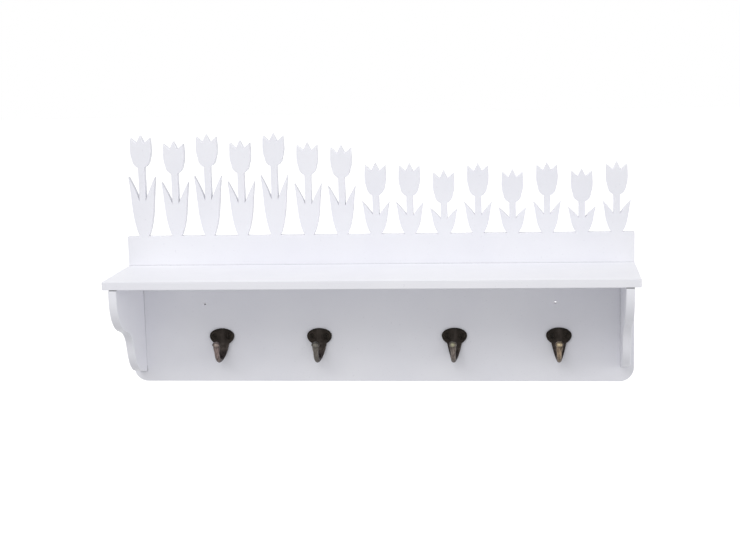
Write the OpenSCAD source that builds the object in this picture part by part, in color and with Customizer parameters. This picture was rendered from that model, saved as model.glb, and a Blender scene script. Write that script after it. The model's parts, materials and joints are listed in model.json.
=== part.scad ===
// Wall coat rack: a painted back board with a fretwork crest of tulips, a hat
// shelf on two ogee brackets, and four cast hooks for coats.
// Millimetres. X runs along the wall, the wall is towards +Y and Z is up.
// The origin is midway between the two wall-screw holes, on the back of the panel.

/* [Boards] */
// Thickness of the panel, shelf and brackets
board_t = 11; // [9:0.5:16]
// Length of the back panel along the wall
panel_w = 700; // [690:5:800]
// Height of the panel below the top of the shelf
drop_h = 166; // [162:0.5:220]
// Height of the plain band above the top of the shelf
band_h = 41; // [25:0.5:80]
// Radius of the two lower corners of the panel
corner_r = 20; // [4:1:40]

/* [Wall screws] */
// Distance between the two wall-screw holes
wall_screw_gap = 487; // [470:1:510]
// Drop of the wall-screw holes below the top of the shelf
wall_screw_drop = 55.5; // [40:0.5:60]
// Diameter of the wall-screw holes
wall_screw_bore = 3.6; // [3.5:0.1:6]

/* [Crest] */
// Height of the tallest tulips above the band
crest_h = 141; // [115:1:170]
// Height of the low tulips above the band
crest_low_h = 96; // [80:1:110]
// How much lower every second tulip stands
crest_step = 9; // [0:1:15]
// Number of tulips in the row
tulip_count = 15; // [12:1:15]
// Distance from the panel's ends to the outer tulips
crest_margin = 24; // [22:1:40]
// Width of a tulip's stem
stem_w = 9; // [6:0.5:12]
// Length of a petal
petal_len = 46; // [36:1:52]
// Width of a petal
petal_w = 20; // [14:0.5:22]
// Width of a leaf
leaf_w = 14; // [10:0.5:15]

/* [Shelf] */
// How far the shelf stands out from the panel
shelf_d = 138; // [130:1:180]
// How far the shelf reaches past each end of the panel
shelf_over = 0.5; // [0:0.5:10]
// Radius of the shelf's front corners
shelf_corner_r = 3; // [1:0.5:10]

/* [Brackets] */
// Distance from the panel's end to the outer face of a bracket
bracket_inset = 8; // [4:0.5:20]
// Height of a bracket where it meets the panel
bracket_h = 141; // [136:0.5:150]
// How much the right bracket is cut down below its top edge
bracket_trim = 6.5; // [0:0.5:8]
// How far a bracket's front stands behind the shelf's front
bracket_setback = 0.5; // [0:0.5:6]
// Length of the upright front edge above the nose
nose_drop = 14; // [12:0.5:16]
// Radius of the upper lobe's nose
nose_r = 50; // [44:1:52]
// Length of the sloping ledge under the upper lobe
ledge_len = 17.5; // [14:0.5:20]
// Radius of the cove between the two lobes
cove_r = 37; // [30:1:38]
// Radius of the lower lobe's front corner
foot_r = 46; // [30:1:50]
// How much the front end of a bracket's top edge is eased
ease_h = 1.2; // [0.5:0.1:2]

/* [Hooks] */
// Distance of the first hook from the panel's left end
hook_1_end = 129; // [110:1:160]
// Distance between the first and second hooks
hook_2_gap = 138; // [100:1:150]
// Distance between the third and fourth hooks
hook_3_gap = 143; // [100:1:150]
// Distance of the fourth hook from the panel's right end
hook_4_end = 102; // [90:1:160]
// Drop of the hooks' heads below the top of the shelf, to the middle of the head
hook_drop = 100.5; // [90:0.5:110]
// Width of a hook's oval head
head_w = 35; // [33:0.5:40]
// Height of a hook's head above its screws
head_up = 10.5; // [9:0.5:12]
// Reach of the head's lower curve below its screws
head_low = 13; // [11:0.5:15]
// Thickness of a hook's head
head_t = 3.2; // [3:0.1:4]
// Width of a hook's tail where the bend starts
tail_w = 20; // [15:0.5:22]
// Drop from the middle of the head to the start of the bend
tail_len = 11.5; // [10:0.5:18]
// Radius of the bend, to the middle of the prong
bend_r = 18.5; // [15:0.5:20]
// Width of the prong where it leaves the bend
prong_w = 7; // [6:0.5:9]
// Thickness of the prong
prong_t = 6.5; // [5:0.5:8]
// Length of the straight prong above the bend
prong_len = 10.5; // [8:0.5:16]
// Lean of the prong away from the wall
prong_lean = 10; // [5:1:15]
// Width of the knob at the tip of the prong
knob_w = 11.2; // [10:0.2:13]
// Half the height of the knob
knob_h = 4; // [3.5:0.1:5]
// Distance between the two screws of a hook
hook_screw_gap = 21; // [20:0.5:23]
// Diameter of the flat seat cut round each of a hook's screws
hook_seat_d = 10.8; // [9:0.2:11.6]

/* [Screws and dowels] */
// Diameter of the screws' shanks
screw_d = 3.5; // [3:0.1:4]
// Diameter of the hook screws' heads
hook_screw_head = 8; // [7:0.1:8.5]
// How far the hook screws' domed heads stand out of their rims
hook_screw_dome = 1.2; // [0.8:0.1:1.6]
// Diameter of the assembly screws' heads
board_screw_head = 7; // [6.2:0.1:7.5]
// How far the assembly screws reach into the shelf and brackets
screw_bite = 22; // [18:1:28]
// How deep the assembly screws' heads sit below the panel's back
head_sink = 0.4; // [0.2:0.1:0.8]
// Distance of the outer shelf screws from the panel's ends
shelf_screw_end = 70; // [55:5:90]
// Distance of the inner shelf screws from the middle
shelf_screw_mid = 95; // [70:5:120]
// Drop of the upper bracket screws below the shelf
bracket_screw_top = 30; // [25:1:40]
// Drop of the lower bracket screws below the shelf
bracket_screw_low = 105; // [95:1:110]
// Diameter of the dowels
dowel_d = 6; // [5:0.1:6]
// Depth of the dowels in the brackets
dowel_bite = 14; // [10:1:18]
// Distance of the rear dowels from the panel
dowel_rear = 45; // [40:1:55]
// Distance of the front dowels from the panel
dowel_front = 108; // [95:1:112]
// Board left past the tip of a hook screw
blind_skin = 1; // [0.8:0.1:1.5]
// Board left above a dowel in the shelf
dowel_skin = 3; // [2.5:0.5:4]
// Clearance around screws and dowels in their holes
fit_gap = 0.15; // [0.1:0.01:0.2]

/* [Hidden] */
$fn = 48;

// Heights above the wall-screw holes
shelf_top = wall_screw_drop;
shelf_low = shelf_top - board_t;
band_top = shelf_top + band_h;
panel_low = shelf_top - drop_h;
panel_front = -board_t;
hook_z = shelf_top - hook_drop;
hook_left = -panel_w / 2 + hook_1_end;
hook_right = panel_w / 2 - hook_4_end;
hook_xs = [hook_left, hook_left + hook_2_gap, hook_right - hook_3_gap, hook_right];

// Steps of an arc, a leaf's edge and a hook's ring
arc_steps = 10;
leaf_steps = 16;
ring_steps = 20;

// Shapes of the crest's leaves and petals
tulip_pitch = (panel_w - 2 * crest_margin) / (tulip_count - 1);
tall_end = 0.3;
low_start = 0.6;
petal_bend = 8;
petal_lean = 8;
leaf_share = 0.9;
leaf_bend = 14;
leaf_foot = 5;
cup_r = petal_w * 0.62;
root = 2;

// Slopes of the bracket's edges, from level
ledge_slope = 19;
lobe_slope = 73;
foot_slope = 15;
ease_len = 8;
bracket_d = shelf_d - bracket_setback;
bracket_x = panel_w / 2 - bracket_inset;

// Extra width of a hook's tail at the screws, how fast the bend narrows below it, and
// how much wider than its foot the prong is under the knob
tail_spread = 10;
bend_taper = 0.6;
neck_share = 1.35;

// Depth of the hook screws' rims in front of the panel, and of the seats above them
rim_depth = head_t * 0.8;
seat_step = 0.1;
hook_screw_len = rim_depth + board_t - blind_skin;
board_screw_len = board_t - head_sink + screw_bite;
screw_tip = 4;
shank_gap = 0.35;
dowel_up = board_t - dowel_skin;
dowel_edge = 0.8;

shelf_screw_xs = [-panel_w / 2 + shelf_screw_end, -shelf_screw_mid, shelf_screw_mid, panel_w / 2 - shelf_screw_end];
bracket_screw_zs = [shelf_low - bracket_screw_top, shelf_low - bracket_screw_low];
dowel_ys = [panel_front - dowel_rear, panel_front - dowel_front];

function mix(a, b, t) = a + (b - a) * t;
function clamp01(t) = max(0, min(1, t));
function smooth(t) = t * t * (3 - 2 * t);
function arc(centre, r, from, to) = [
    for (i = [0:arc_steps])
        let (a = mix(from, to, i / arc_steps))
        centre + r * [cos(a), sin(a)]
];

// Cuts an outline from board
module slab() {
    linear_extrude(board_t)
        children();
}

// Crest

// Half the width of a leaf or petal at a share s of its length
function blade_half(wide, s) = wide / 2 * sin(180 * pow(s, 0.72));

// A pointed leaf that grows up from the origin and curves aside by bend
module blade(len, wide, bend) {
    edge = [for (i = [0:leaf_steps]) i / leaf_steps];
    rising = [for (s = edge) [bend * s * s - blade_half(wide, s), len * s]];
    falling = [for (i = [leaf_steps - 1:-1:1]) let (s = edge[i]) [bend * s * s + blade_half(wide, s), len * s]];
    polygon(concat(rising, falling));
}

// Height of tulip i: tall at the left of the row, low at the right
function tulip_h(i) =
    let (t = clamp01((i / (tulip_count - 1) - tall_end) / (low_start - tall_end)))
    mix(crest_h, crest_low_h, smooth(t)) - (i % 2) * crest_step;

module tulip(h) {
    bloom_z = h - petal_len;
    slab()
        translate([-stem_w / 2, -root])
            square([stem_w, bloom_z + root + cup_r]);
    translate([0, bloom_z]) {
        slab()
            blade(petal_len, petal_w, 0);
        for (side = [-1, 1])
            slab()
                rotate(-side * petal_lean)
                    blade(petal_len * 0.96, petal_w, side * petal_bend);
        slab()
            translate([0, cup_r])
                circle(r = cup_r);
    }
    for (side = [-1, 1])
        slab()
            translate([side * leaf_foot, -root])
                blade((h - petal_len) * leaf_share, leaf_w, side * leaf_bend);
}

module crest() {
    for (i = [0:tulip_count - 1])
        translate([-panel_w / 2 + crest_margin + i * tulip_pitch, band_top])
            tulip(tulip_h(i));
}

module board_outline() {
    polygon(concat(
        [[-panel_w / 2, band_top]],
        arc([-panel_w / 2 + corner_r, panel_low + corner_r], corner_r, 180, 270),
        arc([panel_w / 2 - corner_r, panel_low + corner_r], corner_r, 270, 360),
        [[panel_w / 2, band_top]]
    ));
}

// Screws

// A countersunk screw: its rim is level with z = 0 and it points down
module screw(d, head_d, len) {
    cone_h = (head_d - d) / 2;
    translate([0, 0, -cone_h])
        cylinder(d1 = d, d2 = head_d, h = cone_h);
    translate([0, 0, screw_tip - len])
        cylinder(d = d, h = len - screw_tip - cone_h);
    translate([0, 0, -len])
        cylinder(d1 = 0.6, d2 = d, h = screw_tip);
}

// The hole that a screw sits in, open above its head
module screw_hole(d, head_d, len) {
    wide = 2 * fit_gap;
    cone_h = (head_d - d) / 2;
    translate([0, 0, -cone_h])
        cylinder(d1 = d + wide, d2 = head_d + wide, h = cone_h);
    translate([0, 0, -len - fit_gap])
        cylinder(d = d + wide, h = len + fit_gap - cone_h + 0.01);
    cylinder(d = head_d + wide, h = board_t);
}

// Turns for screws that are driven towards the wall and away from it
module towards_wall() {
    rotate([90, 0, 0])
        children();
}

module away_from_wall() {
    rotate([-90, 0, 0])
        children();
}

module at_shelf_screw(i) {
    translate([shelf_screw_xs[i], -head_sink, shelf_top - board_t / 2])
        away_from_wall()
            children();
}

module at_bracket_screw(side, i) {
    translate([side * (bracket_x - board_t / 2), -head_sink, bracket_screw_zs[i]])
        away_from_wall()
            children();
}

module at_hook_screw(i, side) {
    translate([hook_xs[i] + side * hook_screw_gap / 2, panel_front - rim_depth, hook_z])
        towards_wall()
            children();
}

module board_screw() {
    color([0.72, 0.72, 0.70])
        screw(screw_d, board_screw_head, board_screw_len);
}

module hook_screw() {
    dome_r = (pow(hook_screw_head / 2, 2) + pow(hook_screw_dome, 2)) / (2 * hook_screw_dome);
    color([0.24, 0.20, 0.15]) {
        screw(screw_d, hook_screw_head, hook_screw_len);
        intersection() {
            translate([0, 0, hook_screw_dome - dome_r])
                sphere(r = dome_r);
            cylinder(d = hook_screw_head, h = hook_screw_dome);
        }
    }
}

// Boards

module back_panel() {
    color([0.93, 0.93, 0.95])
        difference() {
            rotate([90, 0, 0]) {
                slab()
                    board_outline();
                crest();
            }
            for (side = [-1, 1])
                translate([side * wall_screw_gap / 2, 1, 0])
                    rotate([90, 0, 0])
                        cylinder(d = wall_screw_bore, h = board_t + 2);
            for (i = [0:3]) {
                at_shelf_screw(i)
                    screw_hole(screw_d, board_screw_head, board_screw_len);
                for (side = [-1, 1])
                    at_hook_screw(i, side)
                        translate([0, 0, -rim_depth])
                            hook_pilot();
            }
            for (side = [-1, 1], i = [0, 1])
                at_bracket_screw(side, i)
                    screw_hole(screw_d, board_screw_head, board_screw_len);
        }
}

// The blind hole for a hook screw in the panel, from the panel's front
module hook_pilot() {
    translate([0, 0, -board_t + blind_skin - fit_gap])
        cylinder(d = screw_d + 2 * fit_gap, h = board_t);
}

module shelf_board() {
    reach = panel_w / 2 + shelf_over;
    color([0.95, 0.95, 0.96])
        difference() {
            translate([0, panel_front, shelf_low])
                linear_extrude(board_t)
                    polygon(concat(
                        [[-reach, 0]],
                        arc([-reach + shelf_corner_r, -shelf_d + shelf_corner_r], shelf_corner_r, 180, 270),
                        arc([reach - shelf_corner_r, -shelf_d + shelf_corner_r], shelf_corner_r, 270, 360),
                        [[reach, 0]]
                    ));
            for (i = [0:3])
                at_shelf_screw(i)
                    screw_hole(screw_d, board_screw_head, board_screw_len);
            for (side = [-1, 1], y = dowel_ys)
                at_dowel(side, y)
                    dowel_hole();
        }
}

// The bracket's side view, with depth from the panel along x, the shelf's underside
// at y = 0 and everything below the top edge raised by trim
module bracket_outline(trim) {
    foot_y = trim - bracket_h;
    nose_c = [bracket_d - nose_r, trim - nose_drop];
    nose_end = nose_c + nose_r * [cos(ledge_slope - 90), sin(ledge_slope - 90)];
    ledge_end = nose_end - ledge_len * [cos(ledge_slope), sin(ledge_slope)];
    cove_c = ledge_end + cove_r * [sin(ledge_slope), -cos(ledge_slope)];
    lobe_top = cove_c - cove_r * [sin(lobe_slope), -cos(lobe_slope)];
    run = (lobe_top.x - (lobe_top.y - foot_y) / tan(lobe_slope)) / (1 - tan(foot_slope) / tan(lobe_slope));
    toe = [run, foot_y + run * tan(foot_slope)];
    foot_in = toe + foot_r * tan((lobe_slope - foot_slope) / 2) * [cos(lobe_slope), sin(lobe_slope)];
    foot_c = foot_in - foot_r * [sin(lobe_slope), -cos(lobe_slope)];
    polygon(concat(
        [[0, 0], [bracket_d - ease_len, 0], [bracket_d, -ease_h]],
        arc(nose_c, nose_r, 0, ledge_slope - 90),
        arc(cove_c, cove_r, ledge_slope + 90, lobe_slope + 90),
        arc(foot_c, foot_r, lobe_slope - 90, foot_slope - 90),
        [[0, foot_y]]
    ));
}

module bracket(side, trim) {
    color([0.91, 0.91, 0.93])
        difference() {
            translate([side * (bracket_x - board_t / 2) + board_t / 2, panel_front, shelf_low])
                rotate([90, 0, -90])
                    linear_extrude(board_t)
                        bracket_outline(trim);
            for (i = [0, 1])
                at_bracket_screw(side, i)
                    screw_hole(screw_d, board_screw_head, board_screw_len);
            for (y = dowel_ys)
                at_dowel(side, y)
                    dowel_hole();
        }
}

// Dowels

module at_dowel(side, y) {
    translate([side * (bracket_x - board_t / 2), y, shelf_low])
        children();
}

module dowel() {
    straight = dowel_bite + dowel_up - 2 * dowel_edge;
    color([0.80, 0.66, 0.45]) {
        translate([0, 0, -dowel_bite])
            cylinder(d1 = dowel_d - 2 * dowel_edge, d2 = dowel_d, h = dowel_edge);
        translate([0, 0, dowel_edge - dowel_bite])
            cylinder(d = dowel_d, h = straight);
        translate([0, 0, dowel_up - dowel_edge])
            cylinder(d1 = dowel_d, d2 = dowel_d - 2 * dowel_edge, h = dowel_edge);
    }
}

module dowel_hole() {
    translate([0, 0, -dowel_bite - fit_gap])
        cylinder(d = dowel_d + 2 * fit_gap, h = dowel_bite + dowel_up + 2 * fit_gap);
}

// Hooks

// Width of the tail between the head's lower curve and the bend, z below the screws
function tail_width(z) =
    let (curve = max(0, 1 - pow(z / head_low, 2)))
    max(head_w * sqrt(curve), tail_w + tail_spread * (1 + z / tail_len));

// One ring of the casting: its middle as depth and height, the turn of the bend,
// its width and thickness, how flat its back is and how sharply its front rises
function ring(depth, z, turn, wide, thick, flat, rise) = [
    for (i = [0:ring_steps - 1])
        let (
            a = 360 * i / ring_steps,
            s = sin(a),
            v = thick / 2 * (s > 0 ? pow(s, rise) : -min(1, -s * flat))
        )
        [wide / 2 * cos(a), -depth - v * cos(turn), z + v * sin(turn)]
];

head_rings = [
    for (a = [12, 26, 40, 54, 68, 80])
        let (t = head_t * mix(0.55, 1, sin(a)))
        ring(t / 2, head_up * cos(a), 0, head_w * sin(a), t, 8, 0.6)
];
tail_rings = [
    for (i = [0:7])
        let (q = i / 8, t = mix(head_t, prong_t, q * q))
        ring(t / 2, -tail_len * q, 0, tail_width(-tail_len * q), t, mix(8, 1, q), mix(0.6, 1, q))
];
bend_turn = 180 - prong_lean;
bend_depth = prong_t / 2 + bend_r;
bend_rings = [
    for (i = [0:11])
        let (a = bend_turn * i / 11, w = mix(prong_w, tail_w, pow(1 - sin(min(a, 90)), bend_taper)))
        ring(bend_depth - bend_r * cos(a), -tail_len - bend_r * sin(a), a, w, prong_t, 1, 1)
];

// A point along the straight prong, len from the end of the bend
function prong_at(len) = [
    bend_depth - bend_r * cos(bend_turn) + len * sin(bend_turn),
    -tail_len - bend_r * sin(bend_turn) - len * cos(bend_turn)
];

neck_w = prong_w * neck_share;
neck_len = prong_len - knob_h;
prong_rings = [
    for (share = [0.5, 0.9])
        let (p = prong_at(neck_len * share))
        ring(p.x, p.y, bend_turn, mix(prong_w, neck_w, share), prong_t, 1, 1)
];
knob_rings = [
    for (a = [-34, -14, 6, 26, 46, 64, 80])
        let (p = prong_at(prong_len + knob_h * sin(a)))
        ring(p.x, p.y, bend_turn, knob_w * cos(a), knob_w * 0.85 * cos(a), 1, 1)
];

module hook_casting() {
    rings = concat(head_rings, tail_rings, bend_rings, prong_rings, knob_rings);
    n = ring_steps;
    last = len(rings) - 1;
    skin = [
        for (r = [0:last - 1], i = [0:n - 1])
            let (j = (i + 1) % n)
            [r * n + i, (r + 1) * n + i, (r + 1) * n + j, r * n + j]
    ];
    polyhedron(
        points = [for (r = rings) each r],
        faces = concat(
            [[for (i = [0:n - 1]) i]],
            skin,
            [[for (i = [n - 1:-1:0]) last * n + i]]
        )
    );
}

module hook(i) {
    color([0.22, 0.19, 0.15])
        difference() {
            translate([hook_xs[i], panel_front, hook_z])
                hook_casting();
            for (side = [-1, 1])
                at_hook_screw(i, side) {
                    screw_hole(screw_d, hook_screw_head, hook_screw_len);
                    translate([0, 0, -hook_screw_len])
                        cylinder(d = screw_d + 2 * shank_gap, h = hook_screw_len);
                    translate([0, 0, seat_step])
                        cylinder(d = hook_seat_d, h = board_t);
                }
        }
}

back_panel();
shelf_board();
bracket(-1, 0);  // bracket_left
bracket(1, bracket_trim);  // bracket_right
for (i = [0:3]) {
    hook(i);
    at_hook_screw(i, -1) hook_screw();
    at_hook_screw(i, 1) hook_screw();
    at_shelf_screw(i) board_screw();
}
at_bracket_screw(-1, 0) board_screw();  // bracket_left_screw_top
at_bracket_screw(-1, 1) board_screw();  // bracket_left_screw_low
at_bracket_screw(1, 0) board_screw();  // bracket_right_screw_top
at_bracket_screw(1, 1) board_screw();  // bracket_right_screw_low
at_dowel(-1, dowel_ys[0]) dowel();  // bracket_left_dowel_rear
at_dowel(-1, dowel_ys[1]) dowel();  // bracket_left_dowel_front
at_dowel(1, dowel_ys[0]) dowel();  // bracket_right_dowel_rear
at_dowel(1, dowel_ys[1]) dowel();  // bracket_right_dowel_front
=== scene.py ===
import json
import math

import bmesh
import bpy
from mathutils import Matrix, Vector


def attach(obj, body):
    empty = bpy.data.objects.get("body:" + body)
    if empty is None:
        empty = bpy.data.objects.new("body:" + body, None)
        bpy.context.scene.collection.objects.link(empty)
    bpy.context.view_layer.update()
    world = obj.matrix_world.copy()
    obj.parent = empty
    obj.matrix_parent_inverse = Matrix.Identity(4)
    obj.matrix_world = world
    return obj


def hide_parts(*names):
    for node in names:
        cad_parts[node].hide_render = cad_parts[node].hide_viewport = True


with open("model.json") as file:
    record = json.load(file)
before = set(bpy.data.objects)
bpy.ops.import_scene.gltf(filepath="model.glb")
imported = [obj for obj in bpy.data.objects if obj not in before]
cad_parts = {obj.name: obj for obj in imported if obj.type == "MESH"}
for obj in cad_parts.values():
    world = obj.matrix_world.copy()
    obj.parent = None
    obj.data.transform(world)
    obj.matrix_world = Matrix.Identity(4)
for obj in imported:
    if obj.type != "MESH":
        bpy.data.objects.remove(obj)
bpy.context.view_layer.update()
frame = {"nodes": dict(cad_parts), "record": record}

MM = 0.001
TURN = 2 * math.pi


def box_of(node):
    """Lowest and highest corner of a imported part."""
    corners = [Vector(corner) for corner in frame["nodes"][node].bound_box]
    return Vector(map(min, *corners)), Vector(map(max, *corners))


def middle_of(node):
    """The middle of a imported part's box."""
    low, high = box_of(node)
    return (low + high) / 2


# The two sides, and which way each lies along X
SIDES = {"left": -1, "right": 1}
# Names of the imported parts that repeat
HOOKS = [f"hook_{i}" for i in range(1, 5)]
SHELF_SCREWS = [f"shelf_screw_{i}" for i in range(1, 5)]
BRACKET_SCREWS = [f"bracket_{side}_screw_{place}" for side in SIDES for place in ("top", "low")]
BACK_SCREWS = SHELF_SCREWS + BRACKET_SCREWS
DOWELS = [f"bracket_{side}_dowel_{place}" for side in SIDES for place in ("rear", "front")]

# Places and sizes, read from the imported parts
SHELF_LOW, SHELF_TOP = (corner.z for corner in box_of("shelf_board"))
BOARD = SHELF_TOP - SHELF_LOW
BRACKET_X = middle_of("bracket_right").x
HOOK_Z = middle_of("hook_1_screw_left").z
HOOK_SCREW_GAP = middle_of("hook_1_screw_right").x - middle_of("hook_1_screw_left").x
HEAD_SINK = -box_of("shelf_screw_1")[1].y
LONG_SCREW = box_of("shelf_screw_1")[1].y - box_of("shelf_screw_1")[0].y
DOWEL_LOW, DOWEL_HIGH = (corner.z for corner in box_of("bracket_left_dowel_rear"))
WALL_SCREWS = next(m for m in frame["record"]["mounts"] if m["name"] == "wall_screws")
WALL_HOLE_X = WALL_SCREWS["dims"]["spacing_x_mm"] / 2 * MM
# Where the panel is drilled right through
DRILLED = [middle_of(node).xz for node in BACK_SCREWS] + [(-WALL_HOLE_X, 0), (WALL_HOLE_X, 0)]

# Camera, settled on the panel's and shelf's corners in the photograph
CAMERA_AT = (0.2183, -2.0393, 0.3795)
CAMERA_YAW, CAMERA_PITCH, CAMERA_ROLL = -6.43, -9.542, -1.431
LENS = 72.97

# How high the rack hangs over the floor
HANG_HEIGHT = 1.5

# Soft boxes: name, place, aim, width, height, watts
LIGHTS = [
    ("high_light", (-0.8, -1.9, 1.7), (0, 0, 0), 2.4, 1.2, 26),
    ("right_light", (4.6, -1.4, 0.25), (0, 0, 0), 2.0, 2.0, 43),
    ("top_light", (0, -0.15, 1.1), (0, -0.12, 0), 0.6, 0.4, 1.4),
]
WORLD_LIGHT = 0.64


# Making and finishing of pieces

def new_piece(name, mesh, material, slot, *nodes):
    """A finished piece of the rack that stands for the named parts."""
    piece = bpy.data.objects.new(name, mesh)
    bpy.context.scene.collection.objects.link(piece)
    mesh.materials.clear()
    mesh.materials.append(material)
    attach(piece, "root")
    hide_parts(*nodes)
    return piece


def mesh_of(bm, name):
    """The bmesh as a mesh; the bmesh is used up."""
    mesh = bpy.data.meshes.new(name)
    bm.to_mesh(mesh)
    bm.free()
    return mesh


def smooth_shaded(mesh, sharp_over):
    """Smooth shading, apart from edges that turn by more than sharp_over degrees."""
    mesh.shade_smooth()
    mesh.set_sharp_from_angle(angle=math.radians(sharp_over))


def placed(mesh, matrix, name):
    """A copy of the mesh, moved to where its piece sits on the rack."""
    copy = mesh.copy()
    copy.name = name
    copy.transform(matrix)
    return copy


def baked(mesh, modifiers):
    """The mesh with its modifiers applied. A modifier is (kind, values)."""
    carrier = bpy.data.objects.new("carrier", mesh)
    bpy.context.scene.collection.objects.link(carrier)
    helpers = []
    for kind, values in modifiers:
        modifier = carrier.modifiers.new(kind, kind)
        for key, value in values.items():
            if isinstance(value, bpy.types.Mesh):
                value = bpy.data.objects.new("cutter", value)
                bpy.context.scene.collection.objects.link(value)
                helpers.append(value)
            setattr(modifier, key, value)
    bpy.context.view_layer.update()
    graph = bpy.context.evaluated_depsgraph_get()
    result = bpy.data.meshes.new_from_object(carrier.evaluated_get(graph))
    for helper in helpers + [carrier]:
        bpy.data.objects.remove(helper)
    return result


def cut(cutter):
    """A modifier for baked that takes the cutter's space away."""
    return ("BOOLEAN", {"operation": "DIFFERENCE", "solver": "EXACT", "object": cutter})


def joined(part):
    """A modifier for baked that welds another closed part on."""
    return ("BOOLEAN", {"operation": "UNION", "solver": "EXACT", "object": part})


# Boards

EASE, BRACKET_EASE, BUTT_EASE, HOLE_EASE = 0.7 * MM, 1.0 * MM, 0.25 * MM, 0.1 * MM
# How far round a screw an edge counts as its hole's
HOLE_REACH = 4.5 * MM
# Points this close are one: before an edge is eased, and after
WELD, FINE_WELD = 0.25 * MM, 0.01 * MM
# Faces that turn less are one flat; edges that turn more are sawn corners
FLAT_TURN, SAWN_TURN = math.radians(1), math.radians(30)


def in_hole(edge):
    """Whether the edge belongs to one of the panel's screw holes, drilled with a crisp rim."""
    middle = (edge.verts[0].co + edge.verts[1].co) / 2
    return any(math.hypot(middle.x - x, middle.z - z) < HOLE_REACH for x, z in DRILLED)


def ease_of(node, edge):
    """How far an edge is rounded; least in the holes and where a bracket meets the panel."""
    if in_hole(edge):
        return HOLE_EASE
    if "bracket" not in node:
        return EASE
    if all(v.co.y > -BOARD - 0.1 * MM for v in edge.verts):
        return BUTT_EASE
    return BRACKET_EASE


def eased_board(node, material):
    """The board with the sharp edges rounded, as sanding and paint leave them."""
    bm = bmesh.new()
    bm.from_mesh(frame["nodes"][node].data)
    bmesh.ops.remove_doubles(bm, verts=bm.verts, dist=WELD)
    bmesh.ops.dissolve_limit(bm, angle_limit=FLAT_TURN, verts=bm.verts, edges=bm.edges)
    weight = bm.edges.layers.float.new("bevel_weight_edge")
    for edge in bm.edges:
        if len(edge.link_faces) == 2 and edge.calc_face_angle() > SAWN_TURN:
            edge[weight] = ease_of(node, edge) / BRACKET_EASE
    sawn = mesh_of(bm, "sawn_board")
    eased = baked(sawn, [("BEVEL", {
        "width": BRACKET_EASE, "segments": 3, "profile": 0.5,
        "limit_method": "WEIGHT", "use_clamp_overlap": False,
    })])
    bpy.data.meshes.remove(sawn)
    bm = bmesh.new()
    bm.from_mesh(eased)
    bpy.data.meshes.remove(eased)
    bmesh.ops.remove_doubles(bm, verts=bm.verts, dist=FINE_WELD)
    bmesh.ops.triangulate(bm, faces=[f for f in bm.faces if len(f.verts) > 4])
    mesh = mesh_of(bm, node + "_painted")
    smooth_shaded(mesh, sharp_over=40)
    piece = new_piece(node + "_painted", mesh, material, "painted_board", node)
    piece.modifiers.new("even_faces", "WEIGHTED_NORMAL").keep_sharp = True
    return piece


# Hooks

HEAD_W, HEAD_UP, HEAD_LOW, HEAD_T = 35 * MM, 10.5 * MM, 13 * MM, 3.2 * MM
TAIL_W, TAIL_LEN, TAIL_SPREAD = 20 * MM, 11.5 * MM, 10 * MM
BEND_R, BEND_TAPER = 18.5 * MM, 0.6
PRONG_W, PRONG_T, PRONG_LEN, PRONG_LEAN = 7 * MM, 6.5 * MM, 10.5 * MM, math.radians(10)
NECK_W = PRONG_W * 1.35
KNOB_W, KNOB_H = 11.2 * MM, 4 * MM
# The crease under the bead, and the height of the bead's middle over it
BEAD_LOW, BEAD_UP = HOOK_Z - 8.2 * MM, 4.6 * MM
# The casting is a chain of rings, from the head's top to the knob's
RING_STEPS = 72
HEAD_RINGS, TAIL_RINGS, BEND_RINGS, NECK_RINGS, KNOB_RINGS = 20, 24, 40, 13, 17
# A low ridge down the middle: its height on head and prong, and its share of the width
HEAD_RIDGE, PRONG_RIDGE, RIDGE_SHARE = 0.5 * MM, 0.35 * MM, 0.34
# How flat a ring's back is and how full its front; the prong is round
HEAD_FLAT, HEAD_FULL, ROUND = 8, 0.5, 1
# Degrees round the head's upper half, and how thin it is at the top
HEAD_FROM, HEAD_TO, HEAD_THIN = 6, 86, 0.45
# How far the neck is pinched below the knob, and from which share of its length
PINCH, PINCH_FROM = 0.05, 0.6
# Degrees up the knob from its widest ring, how flat it is below it, and front to back
KNOB_FROM, KNOB_TO, KNOB_UNDER, KNOB_DEEP = -42, 84, 0.82, 0.85
# A screw's rim over the panel, the seats round its head, wide and narrow, how high the
# wide one's floor and how deep the narrow one's lie from the rim, and the shank's hole
RIM_DEPTH = 2.56 * MM
SEAT_R, POCKET_R, SHANK_HOLE_R = 5.4 * MM, 4.15 * MM, 2.1 * MM
SEAT_STEP, POCKET_DEEP = 0.1 * MM, 1.2 * MM
# Sides of a round cut or of a turned screw
ROUND_STEPS = 48


def mix(a, b, t):
    return a + (b - a) * t


def clamp01(t):
    return max(0.0, min(1.0, t))


def casting_ring(bm, depth, z, turn, wide, thick, flat, rise, ridge=0.0, back_ridge=0.0):
    """One ring of the casting: how flat its back is, how full its front, and the low
    ridge that runs down the middle of either."""
    ring = bmesh.ops.create_circle(bm, cap_ends=False, segments=RING_STEPS, radius=1)["verts"]
    for v in ring:
        side, out = v.co.x, v.co.y
        if out > 0:
            height = thick / 2 * out ** rise
        else:
            height = -thick / 2 * min(1.0, -out * flat)
        crown = math.exp(-(side / RIDGE_SHARE) ** 2)
        height += crown * (ridge if out > 0 else -back_ridge)
        v.co = Vector((
            wide / 2 * side,
            -depth - height * math.cos(turn),
            z + height * math.sin(turn),
        ))
    return ring


def ring_edges(ring):
    inside = set(ring)
    return list({e for v in ring for e in v.link_edges if e.other_vert(v) in inside})


def tail_width(z):
    """How wide the head or its tail is at a height below the screws."""
    curve = HEAD_W * math.sqrt(max(0.0, 1 - (z / HEAD_LOW) ** 2))
    return max(curve, TAIL_W + TAIL_SPREAD * (1 + z / TAIL_LEN))


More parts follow.
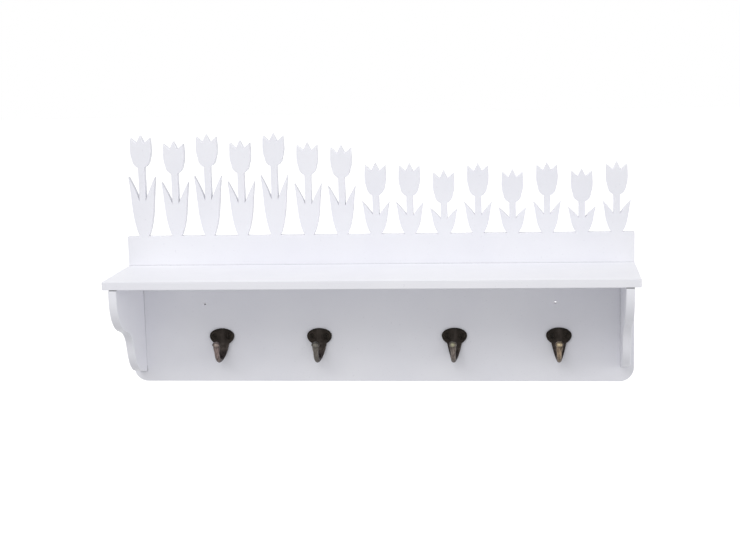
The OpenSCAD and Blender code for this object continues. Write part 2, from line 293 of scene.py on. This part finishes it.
def hook_casting():
    """The cast hook at the origin: the middle of its screws on the panel's face."""
    bm = bmesh.new()
    rings = []
    for i in range(HEAD_RINGS):
        a = math.radians(mix(HEAD_FROM, HEAD_TO, i / (HEAD_RINGS - 1)))
        t = HEAD_T * mix(HEAD_THIN, 1, math.sin(a) ** 0.8)
        rings.append(casting_ring(
            bm, t / 2, HEAD_UP * math.cos(a), 0, HEAD_W * math.sin(a), t,
            HEAD_FLAT, HEAD_FULL, ridge=HEAD_RIDGE * math.sin(a) ** 4,
        ))
    for i in range(TAIL_RINGS):
        q = i / TAIL_RINGS
        t = mix(HEAD_T, PRONG_T, q * q)
        rings.append(casting_ring(
            bm, t / 2, -TAIL_LEN * q, 0, tail_width(-TAIL_LEN * q), t,
            mix(HEAD_FLAT, ROUND, q), mix(HEAD_FULL, ROUND, q), ridge=HEAD_RIDGE * (1 - q * q),
        ))
    full = math.pi - PRONG_LEAN
    bend_depth = PRONG_T / 2 + BEND_R
    for i in range(BEND_RINGS):
        share = i / (BEND_RINGS - 1)
        a = full * share
        w = mix(PRONG_W, TAIL_W, (1 - math.sin(min(a, math.pi / 2))) ** BEND_TAPER)
        rings.append(casting_ring(
            bm, bend_depth - BEND_R * math.cos(a), -TAIL_LEN - BEND_R * math.sin(a),
            a, w, PRONG_T, ROUND, ROUND, back_ridge=PRONG_RIDGE * share,
        ))

    def on_prong(length):
        return (
            bend_depth - BEND_R * math.cos(full) + length * math.sin(full),
            -TAIL_LEN - BEND_R * math.sin(full) - length * math.cos(full),
        )

    neck = PRONG_LEN - KNOB_H
    for i in range(1, NECK_RINGS):
        share = i / NECK_RINGS
        pinch = 1 - PINCH * clamp01((share - PINCH_FROM) / (1 - PINCH_FROM)) ** 2
        rings.append(casting_ring(
            bm, *on_prong(neck * share), full,
            mix(PRONG_W, NECK_W, share ** 0.8) * pinch, PRONG_T * pinch, ROUND, ROUND,
            back_ridge=PRONG_RIDGE * pinch,
        ))
    for i in range(KNOB_RINGS):
        a = math.radians(mix(KNOB_FROM, KNOB_TO, i / (KNOB_RINGS - 1)))
        half_h = KNOB_H * (KNOB_UNDER if a < 0 else 1.0)
        rings.append(casting_ring(
            bm, *on_prong(PRONG_LEN + half_h * math.sin(a)), full,
            KNOB_W * math.cos(a) ** 0.8, KNOB_W * KNOB_DEEP * math.cos(a) ** 0.8, ROUND, ROUND,
        ))
    for low, high in zip(rings, rings[1:]):
        bmesh.ops.bridge_loops(bm, edges=ring_edges(low) + ring_edges(high))
    for end in (rings[0], rings[-1]):
        bmesh.ops.contextual_create(bm, geom=ring_edges(end))
    bmesh.ops.smooth_vert(
        bm, verts=bm.verts, factor=0.5, use_axis_x=True, use_axis_y=True, use_axis_z=True,
    )
    bmesh.ops.recalc_face_normals(bm, faces=bm.faces)
    casting = mesh_of(bm, "casting")
    cuts = []
    bores = ((SEAT_R, SEAT_STEP), (POCKET_R, -POCKET_DEEP), (SHANK_HOLE_R, -2 * BOARD))
    for way in SIDES.values():
        for radius, low in bores:
            cuts.append(cut(seat_cutter(way, radius, low)))
    mesh = baked(casting, cuts)
    smooth_shaded(mesh, sharp_over=38)
    return mesh


def seat_cutter(way, radius, low):
    """A plug over one of the head's screws, from low above its rim out into the room."""
    bm = bmesh.new()
    depth = 4 * BOARD
    bmesh.ops.create_cone(
        bm, cap_ends=True, segments=ROUND_STEPS, radius1=radius, radius2=radius, depth=depth,
        matrix=Matrix.Translation((0, 0, depth / 2 + low)),
    )
    bm.transform(hook_screw_place(way))
    return mesh_of(bm, "seat_cutter")


def hook_screw_place(way, twist=0.0):
    """From a screw that points down, its rim at z = 0, to one driven into the panel."""
    return (
        Matrix.Translation((way * HOOK_SCREW_GAP / 2, -RIM_DEPTH, 0))
        @ Matrix.Rotation(math.pi / 2, 4, "X")
        @ Matrix.Rotation(twist, 4, "Z")
    )


# Screws

SHANK = 3.5 * MM
# The core below the thread as a share of the shank, and the length of the point
CORE_SHARE, POINT = 0.78, 4 * MM
# The point's blunt end: its share of the core and its length
BLUNT_SHARE, BLUNT = 0.35, 0.6 * MM
# The smooth neck below the head's cone: where it starts and where it is full
NECK_START, NECK_FULL = 2 * MM, 1.4 * MM
# The thread: its pitch, its half width as a share of it, its root in the core, its steps
# a turn, and how far it stays from the tip and the cone
PITCH, THREAD_HALF, THREAD_ROOT, THREAD_STEPS = 1.25 * MM, 0.36, 0.25 * MM, 20
THREAD_TO_TIP, THREAD_TO_CONE = 1.6 * MM, 2.6 * MM
# How deep in the core it ends, how much of it is left there, and over how many turns it fades
THREAD_SUNK, THREAD_LEFT, THREAD_FADE = 0.2 * MM, 0.4, 2
RIM_EASE = 0.12 * MM
DOME_STEPS = 8
# The driver's recess: its width across, the thickness of a blade, and how much of either
# is left at the bottom
CROSS_W, BLADE = 4.2 * MM, 0.9 * MM
CROSS_LEFT, BLADE_LEFT = 0.45, 0.78


def turned(bm, profile):
    """Spins a profile of (radius, height) points, both ends on the axis, into a solid."""
    verts = [bm.verts.new((r, 0, z)) for r, z in profile]
    edges = [bm.edges.new(pair) for pair in zip(verts, verts[1:])]
    bmesh.ops.spin(
        bm, geom=verts + edges, cent=(0, 0, 0), axis=(0, 0, 1), dvec=(0, 0, 0),
        angle=TURN, steps=ROUND_STEPS, use_merge=True, use_duplicate=False,
    )
    bmesh.ops.remove_doubles(bm, verts=bm.verts, dist=1e-6)
    bmesh.ops.recalc_face_normals(bm, faces=bm.faces)


def thread(radius, height, low, high):
    """A screw thread as a winding ridge between two heights, fading out at its ends."""
    bm = bmesh.new()
    foot, half = radius - THREAD_ROOT, PITCH * THREAD_HALF
    section = [(foot, -half), (radius + height, 0), (foot, half)]
    verts = [bm.verts.new((r, 0, low + z)) for r, z in section]
    face = bm.faces.new(verts)
    turns = (high - low) / PITCH
    steps = int(turns * THREAD_STEPS)
    bmesh.ops.spin(
        bm, geom=[face] + list(face.edges) + verts, cent=(0, 0, 0), axis=(0, 0, 1),
        dvec=(0, 0, (high - low) / steps), angle=TURN * turns, steps=steps,
        use_merge=False, use_duplicate=False,
    )
    for v in bm.verts:
        r = math.hypot(v.co.x, v.co.y)
        from_end = min(v.co.z - low, high - v.co.z) / PITCH
        fade = clamp01((from_end + THREAD_LEFT) / THREAD_FADE)
        if r > radius:
            k = mix(radius - THREAD_SUNK, r, fade) / r
            v.co.x *= k
            v.co.y *= k
    bmesh.ops.recalc_face_normals(bm, faces=bm.faces)
    return mesh_of(bm, "thread")


def cross_cutter(deep, top):
    """Two tapered bars crossed at right angles: the driver's recess."""
    cutters = []
    for quarter in (0, 1):
        bm = bmesh.new()
        bmesh.ops.create_cube(bm, size=1)
        for v in bm.verts:
            across, thick, z = (1, 1, top) if v.co.z > 0 else (CROSS_LEFT, BLADE_LEFT, -deep)
            v.co = Vector((v.co.x * CROSS_W * across, v.co.y * BLADE * thick, z))
        bm.transform(Matrix.Rotation(quarter * math.pi / 2, 4, "Z"))
        cutters.append(cut(mesh_of(bm, "driver_cutter")))
    return cutters


def screw_mesh(head, length, dome, recess):
    """A whole screw that points down, its rim at z = 0."""
    r, rim = SHANK / 2, head / 2
    cone, core = rim - r, r * CORE_SHARE
    profile = [
        (0, -length), (core * BLUNT_SHARE, -length + BLUNT), (core, -length + POINT),
        (core, -cone - NECK_START), (r * 0.98, -cone - NECK_FULL), (r, -cone),
        (rim - RIM_EASE, -RIM_EASE * 1.5),
    ]
    if dome:
        profile += [(rim, -RIM_EASE * 0.8), (rim, 0)]
        ball = (rim ** 2 + dome ** 2) / (2 * dome)
        span = math.asin(rim / ball)
        for i in range(1, DOME_STEPS):
            a = span * (1 - i / DOME_STEPS)
            profile.append((ball * math.sin(a), ball * math.cos(a) + dome - ball))
    else:
        profile += [(rim, -RIM_EASE), (rim - RIM_EASE, 0)]
    profile.append((0, dome))
    bm = bmesh.new()
    turned(bm, profile)
    body = mesh_of(bm, "screw")
    ridge = thread(core, r - core, -length + THREAD_TO_TIP, -cone - THREAD_TO_CONE)
    mesh = baked(body, [joined(ridge)] + cross_cutter(recess, dome + 1 * MM))
    smooth_shaded(mesh, sharp_over=32)
    return mesh


# Dowels

DOWEL_R, DOWEL_EASE = 3 * MM, 0.7 * MM
# A flute at every fourth of the dowel's sides, and how much of the radius is left in it
DOWEL_SIDES, FLUTE_EACH, FLUTE_SHARE = 72, 4, 0.95


def dowel_mesh():
    """A fluted beech dowel at its height in the rack, over x = 0 and y = 0."""
    bm = bmesh.new()
    ring = bmesh.ops.create_circle(
        bm, cap_ends=True, segments=DOWEL_SIDES, radius=DOWEL_R,
        matrix=Matrix.Translation((0, 0, DOWEL_LOW)),
    )["verts"]
    for v in ring[::FLUTE_EACH]:
        v.co.x *= FLUTE_SHARE
        v.co.y *= FLUTE_SHARE
    made = bmesh.ops.extrude_face_region(bm, geom=list(bm.faces))["geom"]
    top = [v for v in made if isinstance(v, bmesh.types.BMVert)]
    bmesh.ops.translate(bm, verts=top, vec=(0, 0, DOWEL_HIGH - DOWEL_LOW))
    bmesh.ops.recalc_face_normals(bm, faces=bm.faces)
    rims = [e for e in bm.edges if abs(e.verts[0].co.z - e.verts[1].co.z) < FINE_WELD]
    bmesh.ops.bevel(
        bm, geom=rims, offset=DOWEL_EASE, segments=2, profile=0.5, affect="EDGES", material=-1,
    )
    mesh = mesh_of(bm, "dowel")
    smooth_shaded(mesh, sharp_over=30)
    return mesh


# Materials

class Finish:
    """A material and a short way to add and join its nodes."""

    def __init__(self, name):
        self.material = bpy.data.materials.new(name)
        self.material.use_nodes = True
        self.nodes = self.material.node_tree.nodes
        self.links = self.material.node_tree.links
        self.shader = self.nodes["Principled BSDF"]
        self.place = self.node("ShaderNodeTexCoord").outputs["Object"]

    def node(self, kind, **values):
        made = self.nodes.new(kind)
        for key, value in values.items():
            if hasattr(made, key):
                setattr(made, key, value)
            else:
                made.inputs[key.replace("_", " ")].default_value = value
        return made

    def join(self, source, target):
        self.links.new(source, target)
        return target

    def noise(self, scale, detail=2.0, rough=0.5, stretch=None):
        made = self.node("ShaderNodeTexNoise", Scale=scale, Detail=detail, Roughness=rough)
        place = self.place
        if stretch:
            mapping = self.node("ShaderNodeMapping", Scale=stretch)
            self.join(self.place, mapping.inputs["Vector"])
            place = mapping.outputs["Vector"]
        self.join(place, made.inputs["Vector"])
        return made.outputs["Fac"]

    def spread(self, value, low, high, to_low=0.0, to_high=1.0):
        made = self.node(
            "ShaderNodeMapRange", From_Min=low, From_Max=high, To_Min=to_low, To_Max=to_high,
        )
        self.join(value, made.inputs["Value"])
        return made.outputs["Result"]

    def maths(self, operation, *values):
        made = self.node("ShaderNodeMath", operation=operation)
        for socket, value in zip(made.inputs, values):
            if isinstance(value, (int, float)):
                socket.default_value = value
            else:
                self.join(value, socket)
        return made.outputs["Value"]

    def times(self, product, *factors):
        for factor in factors:
            product = self.maths("MULTIPLY", product, factor)
        return product

    def blend(self, factor, a, b):
        made = self.node("ShaderNodeMix", data_type="RGBA")
        for socket, value in ((made.inputs[0], factor), (made.inputs[6], a), (made.inputs[7], b)):
            if isinstance(value, (int, float, tuple)):
                socket.default_value = (*value, 1) if isinstance(value, tuple) else value
            else:
                self.join(value, socket)
        return made.outputs[2]

    def bump(self, height, distance, under=None, strength=1.0):
        made = self.node("ShaderNodeBump", Distance=distance, Strength=strength)
        self.join(height, made.inputs["Height"])
        if under:
            self.join(under, made.inputs["Normal"])
        return made.outputs["Normal"]

    def part(self, axis):
        made = self.node("ShaderNodeSeparateXYZ")
        self.join(self.place, made.inputs[0])
        return made.outputs[axis]


# How near another surface lies where two boards meet, and the colour of the shade painted there
JOINT_REACH = 3 * MM
JOINT_SHADE_GREY = (0.13, 0.13, 0.15)


def painted_board():
    """White satin lacquer on board: a fine orange peel, faint roller marks, a few nibs, and
    painted shade darkening the corners where the boards meet."""
    f = Finish("painted_board")
    mottle = f.spread(f.noise(9, 3, 0.5), 0.35, 0.65)
    colour = f.blend(mottle, (0.836, 0.838, 0.888), (0.868, 0.870, 0.912))
    nib = f.spread(f.noise(420, 1, 0.3), 0.74, 0.80)
    colour = f.blend(nib, colour, (0.79, 0.79, 0.84))
    # The base colour is darkened by painted shade in the corners between boards
    f.join(f.blend(joint_shade(f), colour, JOINT_SHADE_GREY), f.shader.inputs["Base Color"])
    rough = f.spread(f.noise(60, 3, 0.6), 0.3, 0.7, 0.36, 0.48)
    f.join(rough, f.shader.inputs["Roughness"])
    roller = f.bump(f.noise(150, 2, 0.5, stretch=(0.12, 1, 1)), 0.05 * MM)
    peel = f.bump(f.noise(750, 2, 0.5), 0.06 * MM, roller)
    f.join(peel, f.shader.inputs["Normal"])
    f.shader.inputs["Specular IOR Level"].default_value = 0.45
    return f.material


def joint_shade(f):
    """How much shade is painted into the corners between boards, where the boards shade each
    other: most under the shelf and on the brackets, less behind the shelf and further down, and
    none up on the crest; with a painted shadow on the panel under the brackets' feet."""
    occlusion = f.node("ShaderNodeAmbientOcclusion", samples=12, Distance=JOINT_REACH)
    openness = occlusion.outputs["AO"]
    side, z = f.maths("ABSOLUTE", f.part("X")), f.part("Z")
    at_brackets = f.spread(side, BRACKET_X - 18 * MM, BRACKET_X - 14 * MM)
    at_shelf = f.spread(z, SHELF_LOW - 6 * MM, SHELF_LOW - 4 * MM)
    down_the_brackets = f.spread(z, -70 * MM, SHELF_LOW - 15 * MM, 0.35, 0.9)
    at_the_feet = f.spread(z, -86 * MM, -90 * MM)
    over_the_shelf = f.spread(z, SHELF_LOW + 2 * MM, SHELF_LOW + 0.5 * MM, 0.45, 1.0)
    below_crest = f.spread(z, SHELF_TOP + 9 * MM, SHELF_TOP + 5 * MM)
    # Painted shade in the narrow gaps where boards meet
    painted_gap_shade = f.times(
        f.spread(openness, 0.66, 0.36),
        f.maths("MAXIMUM", at_brackets, at_shelf),
        f.maths("MAXIMUM", down_the_brackets, at_the_feet),
        over_the_shelf, below_crest,
    )
    # A painted shadow on the panel under the brackets' feet
    painted_foot_shadow = f.times(
        f.spread(openness, 0.92, 0.55, 0.0, 0.5), at_brackets,
        f.spread(z, -91 * MM, -95 * MM),
    )
    return f.maths("MAXIMUM", painted_gap_shade, painted_foot_shadow)


def antique_casting(name, x, rubbed, bead_wear_and_highlight):
    """Cast metal with a dark patina, rubbed through in streaks along the front of the prong, and
    rubbed brass with a painted highlight in the middle of its bead, for the hook at x."""
    f = Finish(name)
    worn = f.noise(220, 5, 0.65)
    streak = f.spread(f.noise(520, 4, 0.6, stretch=(1, 1, 0.12)), 0.36, 0.62, 0.15, 1.0)
    beside = f.maths("ABSOLUTE", f.maths("SUBTRACT", f.part("X"), x))
    outward = f.spread(f.part("Y"), -BOARD - 24 * MM, -BOARD - 40 * MM)
    over_crease = f.maths("SUBTRACT", f.part("Z"), BEAD_LOW)
    over_bead = f.maths("SUBTRACT", over_crease, BEAD_UP)
    from_bead = f.maths(
        "SQRT", f.maths("ADD", f.times(over_bead, over_bead), f.times(beside, beside)),
    )

    patchy = f.spread(f.noise(90, 4, 0.6), 0.35, 0.65)
    patina_and_painted_light = f.blend(patchy, (0.014, 0.0115, 0.0098), (0.027, 0.022, 0.0185))
    drawn_down = f.times(streak, f.spread(beside, 5.5 * MM, 1.5 * MM, 0.0, 0.5))
    patina_and_painted_light = f.blend(drawn_down, patina_and_painted_light, (0.060, 0.050, 0.045))
    # Lighter low on the tail towards the bend: partly handling wear, partly painted light on the
    # tail's lit front
    low_on_tail = f.spread(f.part("Z"), HOOK_Z - 5 * MM, HOOK_Z - 18 * MM, 0.0, 0.6)
    handled_and_lit = f.times(low_on_tail, f.spread(worn, 0.35, 0.6))
    patina_and_painted_light = f.blend(handled_and_lit, patina_and_painted_light, (0.085, 0.070, 0.063))
    # Lighter on sharp edges: partly worn through, partly a painted highlight
    pointed = f.node("ShaderNodeNewGeometry").outputs["Pointiness"]
    patina_and_painted_light = f.blend(f.spread(pointed, 0.51, 0.57, 0.0, 0.2), patina_and_painted_light, (0.15, 0.13, 0.105))

    rub = f.times(outward, streak, f.spread(beside, 6.5 * MM, 3.4 * MM))
    # A painted highlight on rubbed brass, brightest in the middle of the bead
    bead_highlight = f.times(
        outward, f.spread(from_bead, 4.4 * MM, 0.6 * MM), f.spread(worn, 0.3, 0.6, 0.5, 1.0),
    )
    colour = f.blend(bead_highlight, f.blend(rub, patina_and_painted_light, rubbed), bead_wear_and_highlight)
    # Darker in the crease under the bead: painted shade, partly patina in the hollow
    crease_shade = f.spread(f.maths("ABSOLUTE", over_crease), 0.9 * MM, 0.3 * MM, 0.0, 0.4)
    colour = f.blend(crease_shade, colour, (0.012, 0.010, 0.009))
    f.join(colour, f.shader.inputs["Base Color"])
    f.join(f.spread(worn, 0.3, 0.7, 0.32, 0.55), f.shader.inputs["Roughness"])
    f.shader.inputs["Metallic"].default_value = 0.9
    f.shader.inputs["Specular IOR Level"].default_value = 0.3
    cast = f.bump(f.noise(380, 3, 0.55), 0.12 * MM)
    drawn = f.bump(streak, 0.05 * MM, cast)
    f.join(f.bump(f.noise(1500, 2, 0.5), 0.03 * MM, drawn), f.shader.inputs["Normal"])
    return f.material


def antique_screw():
    """The same dark metal on the hooks' screws, a little lighter on their edges."""
    f = Finish("antique_screw")
    worn = f.noise(500, 4, 0.6)
    colour = f.blend(f.spread(worn, 0.35, 0.65), (0.007, 0.006, 0.005), (0.018, 0.0145, 0.0115))
    pointed = f.node("ShaderNodeNewGeometry").outputs["Pointiness"]
    colour = f.blend(f.spread(pointed, 0.51, 0.58, 0.0, 0.25), colour, (0.14, 0.11, 0.08))
    f.join(colour, f.shader.inputs["Base Color"])
    f.join(f.spread(worn, 0.3, 0.7, 0.28, 0.45), f.shader.inputs["Roughness"])
    f.shader.inputs["Metallic"].default_value = 0.85
    f.join(f.bump(f.noise(900, 2, 0.5), 0.02 * MM), f.shader.inputs["Normal"])
    return f.material


def zinc_screw():
    """Bright zinc plating with a faint cloudiness."""
    f = Finish("zinc_screw")
    cloud = f.spread(f.noise(600, 3, 0.6), 0.35, 0.65)
    f.join(f.blend(cloud, (0.50, 0.51, 0.52), (0.66, 0.67, 0.68)), f.shader.inputs["Base Color"])
    f.join(f.spread(cloud, 0, 1, 0.24, 0.36), f.shader.inputs["Roughness"])
    f.shader.inputs["Metallic"].default_value = 1.0
    f.join(f.bump(f.noise(2400, 2, 0.5), 0.01 * MM), f.shader.inputs["Normal"])
    return f.material


def dowel_wood():
    """Beech with its grain along the dowel."""
    f = Finish("dowel_wood")
    grain = f.spread(f.noise(1800, 4, 0.6, stretch=(1, 1, 0.05)), 0.35, 0.65)
    f.join(f.blend(grain, (0.42, 0.26, 0.13), (0.60, 0.42, 0.25)), f.shader.inputs["Base Color"])
    f.shader.inputs["Roughness"].default_value = 0.62
    f.join(f.bump(grain, 0.03 * MM), f.shader.inputs["Normal"])
    return f.material


# The rack

painted = painted_board()
for node in ("back_panel", "shelf_board", "bracket_left", "bracket_right"):
    eased_board(node, painted)

# How each casting has rubbed on the prong, and its bead: rubbed brass with a painted highlight
CASTINGS = [
    ("casting_brown", (0.22, 0.17, 0.158), (0.29, 0.245, 0.215)),
    ("casting_grey", (0.145, 0.135, 0.12), (0.175, 0.165, 0.145)),
    ("casting_olive", (0.20, 0.17, 0.152), (0.31, 0.30, 0.20)),
    ("casting_gold", (0.30, 0.228, 0.158), (0.52, 0.44, 0.29)),
]
# How far each screw was driven round, in radians
SCREW_TWISTS = [0.35, 1.1, 0.7, 0.15, 0.95, 0.5, 1.25, 0.8]
# The board that is left behind the point of a hook's screw
BLIND_SKIN = 1 * MM
casting = hook_casting()
small_screw = screw_mesh(8 * MM, RIM_DEPTH + BOARD - BLIND_SKIN, dome=1.2 * MM, recess=1.3 * MM)
dark_metal = antique_screw()
for i, hook in enumerate(HOOKS):
    x = middle_of(hook).x
    at = Matrix.Translation((x, -BOARD, HOOK_Z))
    tint, rubbed, bead_wear_and_highlight = CASTINGS[i]
    metal = antique_casting(tint, x, rubbed, bead_wear_and_highlight)
    label = hook + "_casting"
    new_piece(label, placed(casting, at, label), metal, "antique_casting", hook)
    for j, (side, way) in enumerate(SIDES.items()):
        node = f"{hook}_screw_{side}"
        screw_at = at @ hook_screw_place(way, SCREW_TWISTS[2 * i + j])
        label = node + "_turned"
        new_piece(label, placed(small_screw, screw_at, label), dark_metal, "antique_screw", node)

zinc = zinc_screw()
long_screw = screw_mesh(7 * MM, LONG_SCREW, dome=0, recess=1.7 * MM)
for i, node in enumerate(BACK_SCREWS):
    x, z = middle_of(node).xz
    at = (
        Matrix.Translation((x, -HEAD_SINK, z))
        @ Matrix.Rotation(-math.pi / 2, 4, "X")
        @ Matrix.Rotation(SCREW_TWISTS[i], 4, "Z")
    )
    label = node + "_turned"
    new_piece(label, placed(long_screw, at, label), zinc, "zinc_screw", node)

beech = dowel_wood()
dowel = dowel_mesh()
for node in DOWELS:
    x, y = middle_of(node).xy
    label = node + "_fluted"
    at = Matrix.Translation((x, y, 0))
    new_piece(label, placed(dowel, at, label), beech, "dowel_wood", node)

for mesh in (casting, small_screw, long_screw, dowel):
    bpy.data.meshes.remove(mesh)


# Floor, light and camera

def seen_directly(f):
    """1 where the eye or a mirror looks, 0 where light is gathered."""
    path = f.node("ShaderNodeLightPath")
    seen = f.maths("ADD", path.outputs["Is Camera Ray"], path.outputs["Is Glossy Ray"])
    return f.maths("MINIMUM", f.maths("ADD", seen, path.outputs["Is Transmission Ray"]), 1.0)


def pale_floor():
    """The floor: grey enough under the rack to keep its shadow, and as white as the
    backdrop further off."""
    bm = bmesh.new()
    at = Matrix.Translation((0, 0, -HANG_HEIGHT))
    bmesh.ops.create_grid(bm, x_segments=1, y_segments=1, size=30, matrix=at)
    floor = bpy.data.objects.new("floor", mesh_of(bm, "floor"))
    bpy.context.scene.collection.objects.link(floor)
    f = Finish("pale_floor")
    f.shader.inputs["Base Color"].default_value = (0.68, 0.68, 0.69, 1)
    f.shader.inputs["Roughness"].default_value = 1.0
    f.shader.inputs["Emission Color"].default_value = (1, 1, 1, 1)
    away = f.node("ShaderNodeVectorMath", operation="LENGTH")
    f.join(f.place, away.inputs[0])
    white = f.spread(away.outputs["Value"], 1.5, 3.5, 0.42, 0.80)
    f.join(f.maths("MULTIPLY", seen_directly(f), white), f.shader.inputs["Emission Strength"])
    floor.data.materials.append(f.material)


def soft_box(name, at, aim, wide, high, watts):
    lamp = bpy.data.lights.new(name, "AREA")
    lamp.shape = "RECTANGLE"
    lamp.size, lamp.size_y = wide, high
    lamp.energy = watts
    holder = bpy.data.objects.new(name, lamp)
    bpy.context.scene.collection.objects.link(holder)
    holder.location = at
    holder.rotation_euler = (Vector(aim) - Vector(at)).to_track_quat("-Z", "Y").to_euler()


def studio_world(strength):
    world = bpy.data.worlds.new("studio")
    bpy.context.scene.world = world
    world.use_nodes = True
    nodes, links = world.node_tree.nodes, world.node_tree.links
    background = nodes["Background"]
    background.inputs["Color"].default_value = (1, 1, 1, 1)
    path = nodes.new("ShaderNodeLightPath")
    value = path.outputs["Is Camera Ray"]
    for ray in ("Is Glossy Ray", "Is Transmission Ray"):
        add = nodes.new("ShaderNodeMath")
        add.operation = "ADD"
        add.use_clamp = True
        links.new(value, add.inputs[0])
        links.new(path.outputs[ray], add.inputs[1])
        value = add.outputs[0]
    level = nodes.new("ShaderNodeMapRange")
    level.inputs["To Min"].default_value = strength
    level.inputs["To Max"].default_value = 1.0
    links.new(value, level.inputs["Value"])
    links.new(level.outputs["Result"], background.inputs["Strength"])


def photo_camera():
    yaw, pitch, roll = (math.radians(v) for v in (CAMERA_YAW, CAMERA_PITCH, CAMERA_ROLL))
    ahead = Vector((
        math.sin(yaw) * math.cos(pitch), math.cos(yaw) * math.cos(pitch), math.sin(pitch),
    ))
    level_right = Vector((math.cos(yaw), -math.sin(yaw), 0))
    level_up = level_right.cross(ahead)
    right = math.cos(roll) * level_right + math.sin(roll) * level_up
    up = math.cos(roll) * level_up - math.sin(roll) * level_right
    camera = bpy.data.objects.new("camera", bpy.data.cameras.new("camera"))
    bpy.context.scene.collection.objects.link(camera)
    camera.data.lens = LENS
    turn = Matrix((right, up, -ahead)).transposed().to_4x4()
    camera.matrix_world = Matrix.Translation(CAMERA_AT) @ turn
    bpy.context.scene.camera = camera


pale_floor()
studio_world(WORLD_LIGHT)
for light in LIGHTS:
    soft_box(*light)
photo_camera()
bpy.context.scene.view_settings.view_transform = "Standard"
